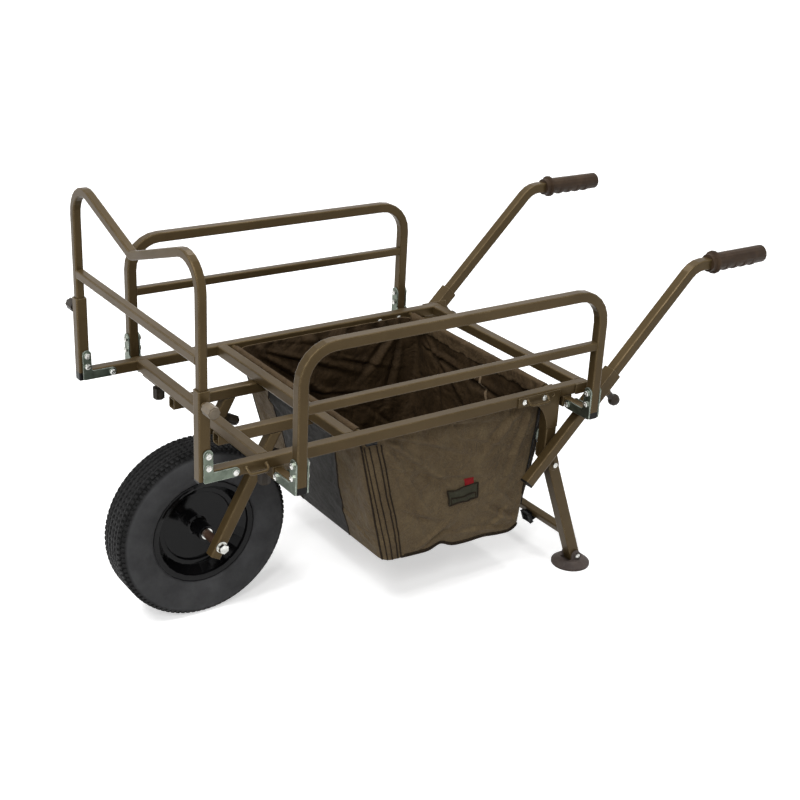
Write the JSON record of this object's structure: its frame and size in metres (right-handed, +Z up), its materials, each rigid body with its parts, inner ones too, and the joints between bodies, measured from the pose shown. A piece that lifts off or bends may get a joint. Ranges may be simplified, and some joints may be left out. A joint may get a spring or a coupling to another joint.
{
  "type": "fishing trolley",
  "caption": "Fishing trolley with a pneumatic wheel in a slanted fork, square-tube deck, folding front and side bars, sliding handles, folding rear legs with mud feet and an open bag.",
  "frame": {"origin": "on the floor under the middle of the whole trolley", "axes": "+Z up, +X along the trolley towards the handles, -X towards the wheel, -Y the side that faces the viewer in the picture"},
  "size_m": [1.583, 0.788, 0.9144],
  "materials": {
    "frame_paint": "satin olive-brown powder coat",
    "bracket_zinc": "zinc plate with a green tint",
    "bolt_steel": "bright plated steel",
    "rim_gloss": "gloss black",
    "tyre_rubber": "matt black rubber",
    "knob_plastic": "matt black plastic",
    "spacer_plastic": "brown plastic",
    "grip_rubber": "dark brown moulded rubber",
    "foot_plastic": "brown-grey moulded plastic",
    "bag_cloth": "brown coated nylon"
  },
  "bodies": {
    "deck": {"side_rail_near": "frame_paint", "inner_bar_near": "frame_paint", "leg_bracket_near": "frame_paint", "handle_socket_near": "frame_paint", "fork_arm_near": "frame_paint", "axle_spacer_near": "spacer_plastic", "side_rail_far": "frame_paint", "inner_bar_far": "frame_paint", "leg_bracket_far": "frame_paint", "handle_socket_far": "frame_paint", "fork_arm_far": "frame_paint", "axle_spacer_far": "spacer_plastic", "front_crossbar": "frame_paint", "middle_crossbar": "frame_paint", "rear_crossbar": "frame_paint", "bag_rod_front": "frame_paint", "bag_rod_rear": "frame_paint", "axle_bolt": "bolt_steel", "bag": "bag_cloth"},
    "wheel": {"tyre": "tyre_rubber", "wheel_rim": "rim_gloss", "wheel_bearing_near": "bolt_steel", "wheel_bearing_far": "bolt_steel"},
    "front_bar_lower": {"front_sleeve_near": "frame_paint", "front_sleeve_far": "frame_paint", "front_bracket_near": "bracket_zinc", "front_bracket_far": "bracket_zinc"},
    "front_bar_upper": {"front_bar_top": "frame_paint", "front_bar_middle": "frame_paint"},
    "front_knob_body_near": {"front_knob_near": "knob_plastic"},
    "carriage_near": {"stub_front_near": "frame_paint", "stub_rear_near": "frame_paint"},
    "side_guard_near": {"side_bar_near": "frame_paint", "side_bar_middle_near": "frame_paint", "side_bracket_front_near": "bracket_zinc", "side_bracket_rear_near": "bracket_zinc"},
    "stub_knob_body_front_near": {"stub_knob_front_near": "knob_plastic"},
    "stub_knob_body_rear_near": {"stub_knob_rear_near": "knob_plastic"},
    "fork_knob_body_near": {"fork_knob_near": "knob_plastic"},
    "plunger_body_near": {"plunger_near": "knob_plastic"},
    "handle_body_near": {"handle_near": "frame_paint", "grip_near": "grip_rubber"},
    "front_knob_body_far": {"front_knob_far": "knob_plastic"},
    "carriage_far": {"stub_front_far": "frame_paint", "stub_rear_far": "frame_paint"},
    "side_guard_far": {"side_bar_far": "frame_paint", "side_bar_middle_far": "frame_paint", "side_bracket_front_far": "bracket_zinc", "side_bracket_rear_far": "bracket_zinc"},
    "stub_knob_body_front_far": {"stub_knob_front_far": "knob_plastic"},
    "stub_knob_body_rear_far": {"stub_knob_rear_far": "knob_plastic"},
    "fork_knob_body_far": {"fork_knob_far": "knob_plastic"},
    "plunger_body_far": {"plunger_far": "knob_plastic"},
    "handle_body_far": {"handle_far": "frame_paint", "grip_far": "grip_rubber"},
    "leg_set": {"leg_frame": "frame_paint"},
    "foot_near": {"mud_foot_near": "foot_plastic"},
    "foot_far": {"mud_foot_far": "foot_plastic"}
  },
  "joints": [
    {"name": "wheel_spin", "type": "hinge", "parent": "deck", "child": "wheel", "pos_m": [-0.59148, 0, 0.2], "axis": [0, 1, 0], "continuous": true},
    {"name": "front_bar_fold", "type": "hinge", "parent": "deck", "child": "front_bar_lower", "pos_m": [-0.65898, 0, 0.4775], "axis": [0, 1, 0], "range_deg": [0, 90]},
    {"name": "front_bar_height", "type": "slide", "parent": "front_bar_lower", "child": "front_bar_upper", "axis": [0, 0, 1], "range_m": [-0.008, 0.065]},
    {"name": "front_knob_turn_near", "type": "hinge", "parent": "front_bar_lower", "child": "front_knob_body_near", "pos_m": [-0.72148, -0.3025, 0.628], "axis": [0, -1, 0], "range_deg": [-360, 360]},
    {"name": "side_bar_width_near", "type": "slide", "parent": "deck", "child": "carriage_near", "axis": [0, -1, 0], "range_m": [-0.003, 0.04]},
    {"name": "side_bar_fold_near", "type": "hinge", "parent": "carriage_near", "child": "side_guard_near", "pos_m": [-0.18398, -0.32, 0.4525], "axis": [-1, 0, 0], "range_deg": [0, 90]},
    {"name": "stub_knob_turn_front_near", "type": "hinge", "parent": "deck", "child": "stub_knob_body_front_near", "pos_m": [-0.56148, -0.245, 0.42], "axis": [0, 0, -1], "range_deg": [-360, 360]},
    {"name": "stub_knob_turn_rear_near", "type": "hinge", "parent": "deck", "child": "stub_knob_body_rear_near", "pos_m": [0.19352, -0.245, 0.42], "axis": [0, 0, -1], "range_deg": [-360, 360]},
    {"name": "fork_knob_turn_near", "type": "hinge", "parent": "deck", "child": "fork_knob_body_near", "pos_m": [-0.47102, -0.1035, 0.39399], "axis": [0.8771, 0, -0.4802], "range_deg": [-360, 360]},
    {"name": "plunger_pull_near", "type": "slide", "parent": "deck", "child": "plunger_body_near", "axis": [0.7071, 0, -0.7071], "range_m": [0, 0.008], "stiffness_N_per_m": 300, "springref_m": -0.01},
    {"name": "handle_slide_near", "type": "slide", "parent": "deck", "child": "handle_body_near", "axis": [0.7071, 0, 0.7071], "range_m": [-0.2, 0.15]},
    {"name": "front_knob_turn_far", "type": "hinge", "parent": "front_bar_lower", "child": "front_knob_body_far", "pos_m": [-0.72148, 0.3025, 0.628], "axis": [0, 1, 0], "range_deg": [-360, 360]},
    {"name": "side_bar_width_far", "type": "slide", "parent": "deck", "child": "carriage_far", "axis": [0, 1, 0], "range_m": [-0.003, 0.04]},
    {"name": "side_bar_fold_far", "type": "hinge", "parent": "carriage_far", "child": "side_guard_far", "pos_m": [-0.18398, 0.32, 0.4525], "axis": [1, 0, 0], "range_deg": [0, 90]},
    {"name": "stub_knob_turn_front_far", "type": "hinge", "parent": "deck", "child": "stub_knob_body_front_far", "pos_m": [-0.56148, 0.245, 0.42], "axis": [0, 0, -1], "range_deg": [-360, 360]},
    {"name": "stub_knob_turn_rear_far", "type": "hinge", "parent": "deck", "child": "stub_knob_body_rear_far", "pos_m": [0.19352, 0.245, 0.42], "axis": [0, 0, -1], "range_deg": [-360, 360]},
    {"name": "fork_knob_turn_far", "type": "hinge", "parent": "deck", "child": "fork_knob_body_far", "pos_m": [-0.47102, 0.1035, 0.39399], "axis": [0.8771, 0, -0.4802], "range_deg": [-360, 360]},
    {"name": "plunger_pull_far", "type": "slide", "parent": "deck", "child": "plunger_body_far", "axis": [0.7071, 0, -0.7071], "range_m": [0, 0.008], "stiffness_N_per_m": 300, "springref_m": -0.01},
    {"name": "handle_slide_far", "type": "slide", "parent": "deck", "child": "handle_body_far", "axis": [0.7071, 0, 0.7071], "range_m": [-0.236, 0.114]},
    {"name": "leg_fold", "type": "hinge", "parent": "deck", "child": "leg_set", "pos_m": [0.17052, 0, 0.296], "axis": [0, -1, 0], "range_deg": [0, 80]},
    {"name": "foot_tilt_near", "type": "hinge", "parent": "leg_set", "child": "foot_near", "pos_m": [0.27072, -0.29, 0.028], "axis": [0, 1, 0], "range_deg": [-20, 20]},
    {"name": "foot_tilt_far", "type": "hinge", "parent": "leg_set", "child": "foot_far", "pos_m": [0.27072, 0.29, 0.028], "axis": [0, 1, 0], "range_deg": [-20, 20]}
  ]
}
